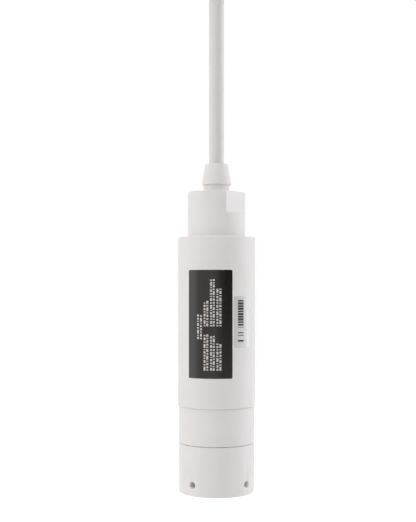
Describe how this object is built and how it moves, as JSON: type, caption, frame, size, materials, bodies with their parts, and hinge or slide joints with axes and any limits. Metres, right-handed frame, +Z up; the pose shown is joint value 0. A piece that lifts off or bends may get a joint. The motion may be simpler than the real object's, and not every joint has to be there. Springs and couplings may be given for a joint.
{
  "type": "submersible level transmitter",
  "caption": "White cylindrical submersible level transmitter with a ported nose cap, black label, flatted head and cable gland, hung on its cable from a suspension clamp.",
  "frame": {"origin": "centre of the eye of the suspension clamp that holds the cable, where the transmitter hangs", "axes": "+Z up along the probe and its cable, front with the label towards -Y, +X to the viewer's right"},
  "size_m": [0.04, 0.0403, 0.3045],
  "materials": {
    "white_plastic": "satin",
    "white_sheath": "satin",
    "seal_rubber": "matte",
    "grey_rubber": "matte",
    "soft_gasket": "matte",
    "ceramic": "satin",
    "black_label": "satin",
    "paper": "matte",
    "board": "satin",
    "black_resin": "satin",
    "terminal_green": "satin",
    "aluminium": "satin",
    "steel": "satin",
    "nylon": "satin",
    "red_wire": "satin",
    "blue_wire": "satin",
    "yellow_wire": "satin",
    "black_wire": "satin",
    "clear_tube": "satin"
  },
  "bodies": {
    "housing": {"sensor_carrier": "white_plastic", "carrier_oring": "seal_rubber", "cell_oring": "seal_rubber", "ceramic_cell": "ceramic", "cell_backing_ring": "soft_gasket", "cell_clamp_ring": "white_plastic", "sensor_lead_1": "red_wire", "sensor_lead_2": "black_wire", "sensor_lead_3": "yellow_wire", "sensor_lead_4": "blue_wire", "body_tube": "white_plastic", "label_plate": "black_label", "code_sticker": "paper", "lower_holder": "black_resin", "upper_holder": "black_resin", "main_board": "board", "processor_chip": "black_resin", "bus_chip": "black_resin", "voltage_regulator": "black_resin", "filter_capacitor": "aluminium", "surge_arrester": "ceramic", "terminal_block": "terminal_green", "head": "white_plastic", "head_oring": "seal_rubber", "gland_sleeve": "grey_rubber", "cable": "white_sheath", "pull_collar": "steel", "core_1": "red_wire", "core_2": "yellow_wire", "core_3": "blue_wire", "core_4": "black_wire", "vent_tube": "clear_tube", "clamp_front": "nylon", "clamp_back": "nylon", "clamp_screw_left": "steel", "clamp_screw_right": "steel", "clamp_nut_left": "steel", "clamp_nut_right": "steel"},
    "nose_gasket": {"nose_gasket": "soft_gasket"},
    "nose_cap": {"nose_cap": "white_plastic"},
    "gland_slip_ring": {"gland_slip_ring": "soft_gasket"},
    "gland_nut": {"gland_nut": "white_plastic"}
  },
  "joints": [
    {"name": "cap_travel", "type": "slide", "parent": "housing", "child": "nose_gasket", "axis": [0, 0, -1], "range_m": [0, 0.013]},
    {"name": "cap_turn", "type": "hinge", "parent": "nose_gasket", "child": "nose_cap", "pos_m": [0, 0, -0.28], "axis": [0, 0, -1], "range_deg": [0, 2340]},
    {"name": "gland_travel", "type": "slide", "parent": "housing", "child": "gland_slip_ring", "axis": [0, 0, 1], "range_m": [0, 0.0045]},
    {"name": "gland_turn", "type": "hinge", "parent": "gland_slip_ring", "child": "gland_nut", "pos_m": [0, 0, -0.13], "axis": [0, 0, 1], "range_deg": [0, 1080]}
  ],
  "couplings": [
    {"joint": "cap_travel", "follows": "cap_turn", "m_per_rad": 0.0003183},
    {"joint": "gland_turn", "follows": "gland_travel", "rad_per_m": 4188.8}
  ]
}
